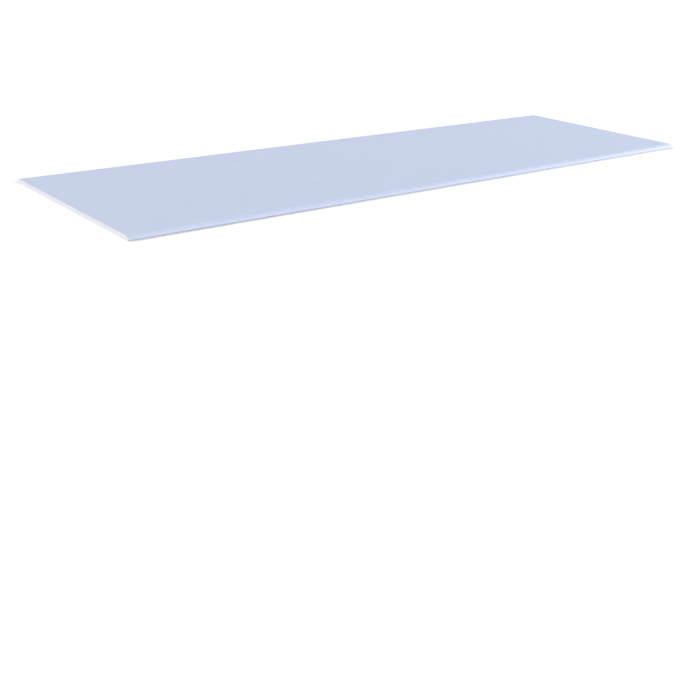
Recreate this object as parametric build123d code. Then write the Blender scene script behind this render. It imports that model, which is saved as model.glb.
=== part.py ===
from build123d import *
import os

# Drywall sheet: one gypsum board, lying face up. Its face paper wraps both long edges, which are
# half-round towards the face, and its two ends are cut square across.
# X runs along the length, Y across the width and Z up. The origin is the middle of the back.

# Driving dimensions, in millimetres
LENGTH = 2000.0  # between the two cut ends
WIDTH = 625.0  # between the two wrapped long edges, at the back
THICKNESS = 12.5  # from the back to the face
EDGE_ROUND_WIDTH = 12.5  # how far in from a long edge the face begins to fall away
EDGE_FLANK = 4.5  # upright foot of a long edge, from the back up to its rounding
BACK_ARRIS_RADIUS = 2.5  # fold of the paper where a long edge meets the back


def sheet_section():
    """Cross-section of the sheet, the same from one cut end to the other."""
    half_width = WIDTH / 2
    round_start = half_width - EDGE_ROUND_WIDTH
    round_drop = THICKNESS - EDGE_FLANK
    with BuildSketch(Plane.YZ) as section:
        # One half, from the middle line out to a long edge
        with BuildLine():
            back = Line((0, 0), (half_width, 0))
            flank = Line(back @ 1, (half_width, EDGE_FLANK))
            rounding = EllipticalCenterArc(
                (round_start, EDGE_FLANK), EDGE_ROUND_WIDTH, round_drop, start_angle=0, arc_size=90
            )
            face = Line(rounding @ 1, (0, THICKNESS))
            Line(face @ 1, back @ 0)
        make_face()
        back_arris = section.vertices().sort_by_distance(flank @ 0)[0]
        fillet(back_arris, radius=BACK_ARRIS_RADIUS)
        # The other half is its mirror image
        mirror(about=Plane.YZ)
    return section.sketch


def drywall_sheet():
    """The board as it leaves the line: a long run of that section, cut square at both ends."""
    return extrude(sheet_section(), amount=LENGTH / 2, both=True)


os.makedirs("parts", exist_ok=True)
export_step(drywall_sheet(), "parts/drywall_sheet.step")
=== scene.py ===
import math

import bmesh
import bpy
from mathutils import Euler, Matrix, Vector, noise


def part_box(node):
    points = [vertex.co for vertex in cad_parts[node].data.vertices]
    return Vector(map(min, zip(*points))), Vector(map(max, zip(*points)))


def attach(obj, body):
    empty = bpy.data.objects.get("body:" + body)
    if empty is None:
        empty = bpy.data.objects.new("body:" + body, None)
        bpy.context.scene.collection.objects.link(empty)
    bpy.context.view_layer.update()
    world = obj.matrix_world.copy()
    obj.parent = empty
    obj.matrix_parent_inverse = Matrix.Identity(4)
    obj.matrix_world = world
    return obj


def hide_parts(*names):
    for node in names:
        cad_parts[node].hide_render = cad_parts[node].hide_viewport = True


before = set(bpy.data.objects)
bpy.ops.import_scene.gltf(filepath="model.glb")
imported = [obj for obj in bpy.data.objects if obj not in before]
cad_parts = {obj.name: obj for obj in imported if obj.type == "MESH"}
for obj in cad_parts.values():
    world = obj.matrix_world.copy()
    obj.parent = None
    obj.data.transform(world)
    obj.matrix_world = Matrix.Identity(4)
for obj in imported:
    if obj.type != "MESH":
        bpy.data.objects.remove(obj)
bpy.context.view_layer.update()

# The board
# Gypsum slurry is poured onto the face paper, which is folded up round both long edges and onto the
# back, closed there with a narrower back paper, pressed to thickness, dried hard and sawn to length.
low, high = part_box("drywall_sheet")
length, width, thickness = high - low
edge_round_width = 0.0125  # how far in from a long edge the face begins to fall away
edge_flank = 0.0045  # upright foot of a long edge, from the back up to its rounding
back_arris_radius = 0.0025  # fold of the paper where a long edge meets the back
face_paper_thickness = 0.0004
back_paper_thickness = 0.0003
bare_lap = 0.016  # strip of the folded face paper that the back paper leaves bare
FACE_PAPER, BACK_PAPER, CORE = range(3)  # the slots of the sheet's three finishes


def faces_towards(mesh, direction, least_cosine=0.9999):
    """The flat faces that look exactly that way."""
    return [face for face in mesh.faces if face.normal.dot(Vector(direction)) > least_cosine]


def cut_across(mesh, faces, place, direction):
    """Cuts only these faces by a plane and gives back what they become."""
    edges = {edge for face in faces for edge in face.edges}
    corners = {corner for face in faces for corner in face.verts}
    cut = bmesh.ops.bisect_plane(
        mesh, geom=[*faces, *edges, *corners], plane_co=place, plane_no=direction
    )
    return [part for part in cut["geom"] if isinstance(part, bmesh.types.BMFace)]


def long_edges(mesh, height, tolerance=1e-6):
    """The edges that run from end to end at that height."""
    long = [edge for edge in mesh.edges if edge.calc_length() > width]
    return [edge for edge in long if all(abs(corner.co.z - height) < tolerance for corner in edge.verts)]


# The core in its face paper, with both long edges rounded towards the face. The rounding is wider than
# it is deep, so it is cut as a true quarter round while the block is stretched upwards.
board = bmesh.new()
bmesh.ops.create_cube(board, size=1.0)
bmesh.ops.scale(board, vec=(length, width, thickness - back_paper_thickness), verts=board.verts)
bmesh.ops.translate(board, vec=(0, 0, (thickness + back_paper_thickness) / 2), verts=board.verts)
stretch = edge_round_width / (thickness - edge_flank)
bmesh.ops.scale(board, vec=(1, 1, stretch), verts=board.verts)
bmesh.ops.bevel(
    board, geom=long_edges(board, thickness * stretch), offset=edge_round_width,
    affect="EDGES", segments=20, profile=0.5, material=-1,
)
bmesh.ops.scale(board, vec=(1, 1, 1 / stretch), verts=board.verts)
bmesh.ops.bevel(
    board, geom=long_edges(board, back_paper_thickness), offset=back_arris_radius,
    affect="EDGES", segments=8, profile=0.5, material=-1,
)

# The back paper lies over the face paper's laps and leaves a strip of them bare along each long edge
lap_line = width / 2 - bare_lap
for side in (-1, 1):
    cut_across(board, faces_towards(board, (0, 0, -1)), (0, side * lap_line, 0), (0, 1, 0))
back = min(faces_towards(board, (0, 0, -1)), key=lambda face: abs(face.calc_center_median().y))
glued = bmesh.ops.extrude_face_region(board, geom=[back, *back.edges])["geom"]
glued_corners = [part for part in glued if isinstance(part, bmesh.types.BMVert)]
bmesh.ops.translate(board, vec=(0, 0, -back_paper_thickness), verts=glued_corners)
for face in {face for corner in glued_corners for face in corner.link_faces}:
    face.material_index = BACK_PAPER

# Each sawn end: a rim of cut paper round the core, which lies a little deeper, torn and open at its pores
core_depth = 0.0002
core_step = face_paper_thickness / 8  # how far in the core's step down from the rim leans
core_columns = 620
core_rows = 12
tear = 0.00025
tear_grain = 420
pore_depth = 0.0006
pore_grain = 640
pore_start = 0.4
core_width = width - 2 * face_paper_thickness
core_bottom = back_paper_thickness + face_paper_thickness
for side in (-1, 1):
    end = max(faces_towards(board, (side, 0, 0)), key=lambda face: face.calc_area())
    rim = bmesh.ops.inset_region(
        board, faces=[end], thickness=face_paper_thickness, use_even_offset=True
    )["faces"]
    # Between the laps there is no face paper under the core
    for face in rim:
        middle = face.calc_center_median()
        if middle.z < core_bottom and abs(middle.y) < lap_line:
            face.material_index = CORE
    step = bmesh.ops.inset_region(
        board, faces=[end], thickness=core_step, depth=-core_depth, use_even_offset=True
    )["faces"]
    for face in [end, *step]:
        face.material_index = CORE
    # The core is cut into columns, from one long edge to the other, and then into rows
    rest, cells = end, []
    for column in range(1, core_columns):
        place = (0, core_width * (column / core_columns - 0.5), 0)
        *done, rest = sorted(
            cut_across(board, [rest], place, (0, 1, 0)), key=lambda face: face.calc_center_median().y
        )
        cells += done
    cells.append(rest)
    for row in range(1, core_rows):
        height = core_bottom + (thickness - core_bottom) * row / core_rows
        cells = cut_across(board, cells, (0, 0, height), (0, 0, 1))
    core = set(cells)
    inner = {corner for face in core for corner in face.verts if core.issuperset(corner.link_faces)}
    for corner in inner:
        torn = tear * noise.noise(corner.co * tear_grain)
        pore = pore_depth * max(0.0, noise.noise(corner.co * pore_grain) - pore_start)
        corner.co.x += side * (torn - pore)

# Cut rims and the borders of two finishes shade as sharp lines, and the rest as one smooth skin
sharp_angle = math.radians(40)
bmesh.ops.recalc_face_normals(board, faces=board.faces)
for face in board.faces:
    face.smooth = True
for edge in board.edges:
    two_finishes = len({face.material_index for face in edge.link_faces}) > 1
    edge.smooth = not two_finishes and edge.calc_face_angle() < sharp_angle
sheet_mesh = bpy.data.meshes.new("papered_board")
board.to_mesh(sheet_mesh)
board.free()
sheet = bpy.data.objects.new("papered_board", sheet_mesh)
bpy.context.scene.collection.objects.link(sheet)
sheet.modifiers.new("flat faces stay flat", "WEIGHTED_NORMAL").keep_sharp = True
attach(sheet, "root")
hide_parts("drywall_sheet")

# The papers' pulp
# Both papers are made of the same pulp on the same kind of machine: its fibres lie mostly along the
# sheet, thicker and thinner in soft clouds, and the rolls leave long faint streaks.
pulp_roughness = 0.55
hair_level = 0.5  # the level of the noise that its hairs follow
hair_breadth = 0.02  # how far from that level a hair reaches
hair_breaks = (0.52, 0.60)  # where the breaks' noise goes from no hair to a whole one


def add(tree, kind, inputs, **settings):
    """Adds a shader node. Each input takes a value, or the output of another node."""
    node = tree.nodes.new(kind)
    for name, value in settings.items():
        setattr(node, name, value)
    for name, value in inputs.items():
        if isinstance(value, bpy.types.NodeSocket):
            tree.links.new(value, node.inputs[name])
        else:
            node.inputs[name].default_value = value
    return node


def work_out(tree, operation, *values):
    """The result of a sum, product or like operation on these values."""
    return add(tree, "ShaderNodeMath", dict(enumerate(values)), operation=operation).outputs[0]


def spread(tree, value, start, stop, least=0.0, most=1.0):
    """The value, where it goes from start to stop, as one that goes from least to most."""
    limits = {"Value": value, "From Min": start, "From Max": stop, "To Min": least, "To Max": most}
    return add(tree, "ShaderNodeMapRange", limits).outputs["Result"]


formation = bpy.data.node_groups.new("paper formation", "ShaderNodeTree")
for name in ("Clouds", "Streaks", "Pale fibres", "Dark fibres", "Tooth"):
    formation.interface.new_socket(name, in_out="OUTPUT", socket_type="NodeSocketFloat")
on_sheet = add(formation, "ShaderNodeTexCoord", {}).outputs["Object"]


def pulp(along, across, detail, shift=0.0):
    """Noise whose grains are that long along the sheet and that wide across it."""
    to_a_metre = (1 / along, 1 / across, 1 / across)
    grain = {"Vector": on_sheet, "Location": (shift, shift, shift), "Scale": to_a_metre}
    place = add(formation, "ShaderNodeMapping", grain).outputs["Vector"]
    look = {"Vector": place, "Scale": 1.0, "Detail": detail, "Roughness": pulp_roughness}
    return add(formation, "ShaderNodeTexNoise", look).outputs["Fac"]


def fibres(shift):
    """Hair-thin lines of single fibres: level lines of a drawn-out noise, broken into short lengths."""
    drawn_out = pulp(along=0.007, across=0.0022, detail=2.0, shift=shift)
    hair = work_out(formation, "COMPARE", drawn_out, hair_level, hair_breadth)
    breaks = pulp(along=0.005, across=0.003, detail=1.0, shift=2 * shift)
    return work_out(formation, "MULTIPLY", hair, spread(formation, breaks, *hair_breaks))


add(formation, "NodeGroupOutput", {
    "Clouds": pulp(along=0.05, across=0.028, detail=3.0),
    "Streaks": pulp(along=3.0, across=0.016, detail=2.0),
    "Pale fibres": fibres(shift=10.0),
    "Dark fibres": fibres(shift=30.0),
    "Tooth": pulp(along=0.0016, across=0.0009, detail=2.0),
})

# The face paper
# A smooth liner, tinted lavender-blue and pressed between rolls to a slight sheen. It covers the face,
# both long edges and the laps on the back.
paper_gloss = 0.25
tooth_strength = 0.8
cloud_span = (0.3, 0.7)
streak_span = (0.35, 0.7)
fibre_span = (0.0, 1.0)


def finish_of(name, index):
    """A new material in that slot of the sheet. Gives back its node tree and its shader."""
    material = bpy.data.materials.new(name)
    material.use_nodes = True
    while len(sheet_mesh.materials) <= index:
        sheet_mesh.materials.append(None)
    sheet_mesh.materials[index] = material
    return material.node_tree, material.node_tree.nodes["Principled BSDF"]


def tinge(tree, tint, mark, span, colour, most=1.0):
    """The tint, with another colour mixed in, up to the most of it, as the mark goes up its span."""
    share = spread(tree, mark, *span, 0.0, most)
    mix = add(tree, "ShaderNodeMixRGB", {"Fac": share, "Color1": tint, "Color2": colour})
    return mix.outputs["Color"]


def liner(name, index, thin, thick, streaks, pale_fibres, dark_fibres, roughness, tooth_depth):
    """The finish of a paper. Its streaks and fibres are each a colour and the most of it that shows."""
    paper, shader = finish_of(name, index)
    marks = add(paper, "ShaderNodeGroup", {}, node_tree=formation).outputs
    tint = tinge(paper, thin, marks["Clouds"], cloud_span, thick)
    tint = tinge(paper, tint, marks["Streaks"], streak_span, *streaks)
    tint = tinge(paper, tint, marks["Pale fibres"], fibre_span, *pale_fibres)
    tint = tinge(paper, tint, marks["Dark fibres"], fibre_span, *dark_fibres)
    paper.links.new(tint, shader.inputs["Base Color"])
    paper.links.new(spread(paper, marks["Clouds"], *cloud_span, *roughness), shader.inputs["Roughness"])
    shader.inputs["Specular IOR Level"].default_value = paper_gloss
    tooth = {"Strength": tooth_strength, "Distance": tooth_depth, "Height": marks["Tooth"]}
    relief = add(paper, "ShaderNodeBump", tooth)
    paper.links.new(relief.outputs["Normal"], shader.inputs["Normal"])


liner(
    "lavender_blue_face_paper", FACE_PAPER,
    thin=(0.55, 0.615, 0.785, 1),
    thick=(0.57, 0.635, 0.80, 1),
    streaks=((0.51, 0.575, 0.76, 1), 0.10),
    pale_fibres=((0.70, 0.75, 0.87, 1), 0.4),
    dark_fibres=((0.42, 0.49, 0.69, 1), 0.3),
    roughness=(0.70, 0.78),
    tooth_depth=0.0001,
)

# The back paper
# An untinted grey-ivory liner of recycled pulp, rougher than the face paper and flecked with dark and
# pale fibres. It is glued over the face paper's laps.
liner(
    "grey_ivory_back_paper", BACK_PAPER,
    thin=(0.52, 0.50, 0.45, 1),
    thick=(0.60, 0.58, 0.53, 1),
    streaks=((0.48, 0.45, 0.40, 1), 0.2),
    pale_fibres=((0.72, 0.70, 0.66, 1), 0.6),
    dark_fibres=((0.28, 0.26, 0.23, 1), 0.6),
    roughness=(0.72, 0.82),
    tooth_depth=0.00015,
)

# The gypsum core
# Set plaster, white and chalky. The saw leaves faint upright marks on it and lays open its air pores,
# most of them smaller than a pinhead.
cool_white = (0.83, 0.84, 0.89, 1)
chalk_white = (0.87, 0.88, 0.92, 1)
grain_grey = (0.71, 0.72, 0.77, 1)
saw_grey = (0.73, 0.74, 0.79, 1)
# painted shade: the grey that the open pores are painted with, standing in for the shade inside them
pore_shade_grey = (0.54, 0.545, 0.58, 1)
crumb_roughness = 0.6
crumb_span = (0.3, 0.7)
chalk_roughness = (0.85, 0.95)
chalk_strength = 0.7
chalk_depth = 0.0003
upright = (1, 1, 0.06)
ragged_rim = (-0.1, 0.1)  # how far the grains push a pore's rim out and in
rim_slope = 0.2  # how gently a pore falls away from its rim
gypsum, shader = finish_of("white_gypsum_core", CORE)
in_core = add(gypsum, "ShaderNodeTexCoord", {}).outputs["Object"]


def crumb(to_a_metre, detail, squeeze=(1, 1, 1)):
    """Noise inside the core, with that many grains to a metre."""
    place = add(gypsum, "ShaderNodeMapping", {"Vector": in_core, "Scale": squeeze}).outputs["Vector"]
    look = {"Vector": place, "Scale": to_a_metre, "Detail": detail, "Roughness": crumb_roughness}
    return add(gypsum, "ShaderNodeTexNoise", look).outputs["Fac"]


patches = crumb(to_a_metre=70.0, detail=3.0)
grains = crumb(to_a_metre=1500.0, detail=3.0)
saw_marks = crumb(to_a_metre=500.0, detail=1.0, squeeze=upright)


def air_pores(to_a_metre, smallest, largest):
    """Round pits with ragged rims, that many to a metre at most. Only the larger bubbles open as pits."""
    bubbles = add(gypsum, "ShaderNodeTexVoronoi", {"Vector": in_core, "Scale": to_a_metre}).outputs
    size = add(gypsum, "ShaderNodeSeparateColor", {"Color": bubbles["Color"]}).outputs["Red"]
    radius = spread(gypsum, size, smallest, 1.0, 0.0, largest)
    push = spread(gypsum, grains, *crumb_span, *ragged_rim)
    ragged = work_out(gypsum, "ADD", bubbles["Distance"], push)
    inside = work_out(gypsum, "SUBTRACT", radius, ragged)
    return spread(gypsum, inside, 0.0, rim_slope)


wide_pores = air_pores(to_a_metre=950.0, smallest=0.4, largest=0.4)
fine_pores = air_pores(to_a_metre=2300.0, smallest=0.3, largest=0.42)
pores = work_out(gypsum, "MAXIMUM", wide_pores, fine_pores)
tint = tinge(gypsum, cool_white, patches, span=crumb_span, colour=chalk_white)
tint = tinge(gypsum, tint, grains, span=(0.55, 0.75), colour=grain_grey, most=0.3)
tint = tinge(gypsum, tint, saw_marks, span=(0.5, 0.7), colour=saw_grey, most=0.18)
# the pores are real dips in the relief, and their darker colour on top of that is painted shade
tint = tinge(gypsum, tint, pores, span=(0.0, 1.0), colour=pore_shade_grey, most=0.75)
gypsum.links.new(tint, shader.inputs["Base Color"])
gypsum.links.new(spread(gypsum, grains, *crumb_span, *chalk_roughness), shader.inputs["Roughness"])
chalk = work_out(gypsum, "SUBTRACT", grains, pores)
chalk_relief = {"Strength": chalk_strength, "Distance": chalk_depth, "Height": chalk}
relief = add(gypsum, "ShaderNodeBump", chalk_relief)
gypsum.links.new(relief.outputs["Normal"], shader.inputs["Normal"])

# The studio
# A white floor under a white sky. Two broad lamps stand far off, the key lamp behind the sheet on the
# left and a low one in front of the near long edge. A small lamp near the right corner brightens that
# end of the edge.
sky_light = 0.12
# Where each far lamp stands, its light on a surface that faces it, and how broad it looks from there
far_lamps = {
    "key_lamp": (Vector((-0.66, 0.55, 0.51)), 1.14, math.radians(42)),
    "edge_lamp": (Vector((0.30, -0.92, 0.22)), 1.15, math.radians(45)),
}


def put_up(lamp, direction):
    """Stands a lamp in the studio, so that it shines from that direction."""
    stand = bpy.data.objects.new(lamp.name, lamp)
    stand.rotation_euler = direction.to_track_quat("Z", "Y").to_euler()
    bpy.context.scene.collection.objects.link(stand)
    return stand


for name, (direction, light, breadth) in far_lamps.items():
    sun = bpy.data.lights.new(name, "SUN")
    sun.energy = math.pi * light
    sun.angle = breadth
    put_up(sun, direction)

near_lamp_place = Vector((2.2, -1.6, 0.2))
near_lamp_size = (0.8, 0.3)
near_lamp_watts = 18.0
right_corner = Vector((length / 2, -width / 2, 0))
near_lamp = bpy.data.lights.new("near_lamp", "AREA")
near_lamp.shape = "RECTANGLE"
near_lamp.size, near_lamp.size_y = near_lamp_size
near_lamp.energy = near_lamp_watts
near_stand = put_up(near_lamp, near_lamp_place - right_corner)
near_stand.location = near_lamp_place
near_stand.visible_camera = False


def seen_rays(tree):
    """1 for the rays that show a thing, also in gloss or glass, and 0 for those that only light others."""
    rays = add(tree, "ShaderNodeLightPath", {}).outputs
    straight_or_gloss = work_out(tree, "MAXIMUM", rays["Is Camera Ray"], rays["Is Glossy Ray"])
    return work_out(tree, "MAXIMUM", straight_or_gloss, rays["Is Transmission Ray"])


white = (1, 1, 1, 1)
world = bpy.data.worlds.new("white_sky")
world.use_nodes = True
bpy.context.scene.world = world
sky = world.node_tree
backdrop = sky.nodes["Background"]
backdrop.inputs["Color"].default_value = white
sky.links.new(spread(sky, seen_rays(sky), 0.0, 1.0, sky_light, 1.0), backdrop.inputs["Strength"])

# Away from the sheet the floor is as white as the sky, and it throws only a part of its light back
floor_reach = 60.0
floor_gap = 0.0002
floor_white = 1.02
floor_bounce = 0.3
floor_roughness = 0.9
floor_shape = bmesh.new()
bmesh.ops.create_grid(floor_shape, x_segments=1, y_segments=1, size=floor_reach)
bmesh.ops.translate(floor_shape, vec=(0, 0, -floor_gap), verts=floor_shape.verts)
floor_mesh = bpy.data.meshes.new("floor")
floor_shape.to_mesh(floor_mesh)
floor_shape.free()
floor = bpy.data.objects.new("floor", floor_mesh)
bpy.context.scene.collection.objects.link(floor)
white_paint = bpy.data.materials.new("white_floor")
white_paint.use_nodes = True
floor_mesh.materials.append(white_paint)
paint = white_paint.node_tree
shader = paint.nodes["Principled BSDF"]
shader.inputs["Roughness"].default_value = floor_roughness
shader.inputs["Specular IOR Level"].default_value = 0.0
shader.inputs["Emission Color"].default_value = white
floor_light = sky_light
for direction, light, breadth in far_lamps.values():
    floor_light += light * direction.normalized().z
seen = seen_rays(paint)
paint.links.new(spread(paint, seen, 0.0, 1.0, floor_bounce, 1.0), shader.inputs["Base Color"])
glow = spread(paint, seen, 0.0, 1.0, 0.0, floor_white - floor_light)
paint.links.new(glow, shader.inputs["Emission Strength"])

# The camera
# It stands in front of the near long edge and left of the sheet, a little above it, and looks along it.
eye = Vector((-1.9633, -2.2739, 0.6628))
heading = math.radians(39.151)
pitch = math.radians(-22.871)
roll = math.radians(2.009)
focal_length = 52.24
sensor_width = 36.0
lens = bpy.data.cameras.new("camera")
lens.lens = focal_length
lens.sensor_width = sensor_width
camera = bpy.data.objects.new("camera", lens)
turn = Euler((math.radians(90) + pitch, 0, -heading)).to_matrix() @ Matrix.Rotation(roll, 3, "Z")
camera.matrix_world = Matrix.Translation(eye) @ turn.to_4x4()
bpy.context.scene.collection.objects.link(camera)
bpy.context.scene.camera = camera
bpy.context.scene.view_settings.view_transform = "Standard"
